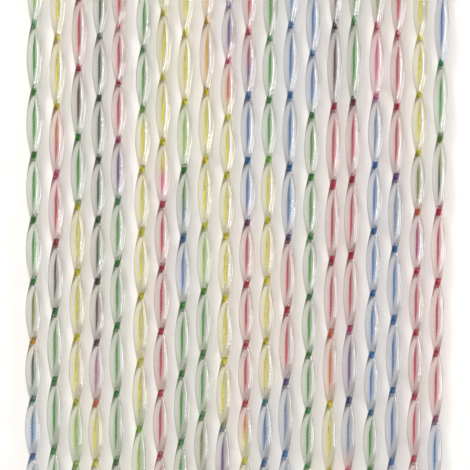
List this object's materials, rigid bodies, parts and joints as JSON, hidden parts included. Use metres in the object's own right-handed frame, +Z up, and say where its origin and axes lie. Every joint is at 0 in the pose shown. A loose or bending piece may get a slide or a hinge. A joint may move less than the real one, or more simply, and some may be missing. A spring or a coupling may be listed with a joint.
{
  "type": "strip curtain",
  "caption": "Hanging door curtain of clear twisted PVC strands with dyed yarn cores, fused side by side into a flat header strip.",
  "frame": {"origin": "middle of the header strip's top edge", "axes": "+Z up along the strands, +X to the right across the row seen from the front, +Y to the back, so the front faces -Y"},
  "size_m": [0.22, 0.0076, 0.4],
  "materials": {
    "clear_pvc": "clear, smooth extruded",
    "yarn_green": "dyed, tightly wound, lustrous",
    "yarn_yellow": "dyed, tightly wound, lustrous",
    "yarn_red": "dyed, tightly wound, lustrous",
    "yarn_blue": "dyed, tightly wound, lustrous"
  },
  "bodies": {
    "root": {"strand_row": "clear_pvc", "core_01": "yarn_green", "core_02": "yarn_green", "core_03": "yarn_yellow", "core_04": "yarn_green", "core_05": "yarn_green", "core_06": "yarn_yellow", "core_07": "yarn_red", "core_08": "yarn_green", "core_09": "yarn_green", "core_10": "yarn_yellow", "core_11": "yarn_red", "core_12": "yarn_yellow", "core_13": "yarn_blue", "core_14": "yarn_green", "core_15": "yarn_red", "core_16": "yarn_red", "core_17": "yarn_blue", "core_18": "yarn_blue", "core_19": "yarn_yellow", "core_20": "yarn_red"}
  },
  "joints": []
}
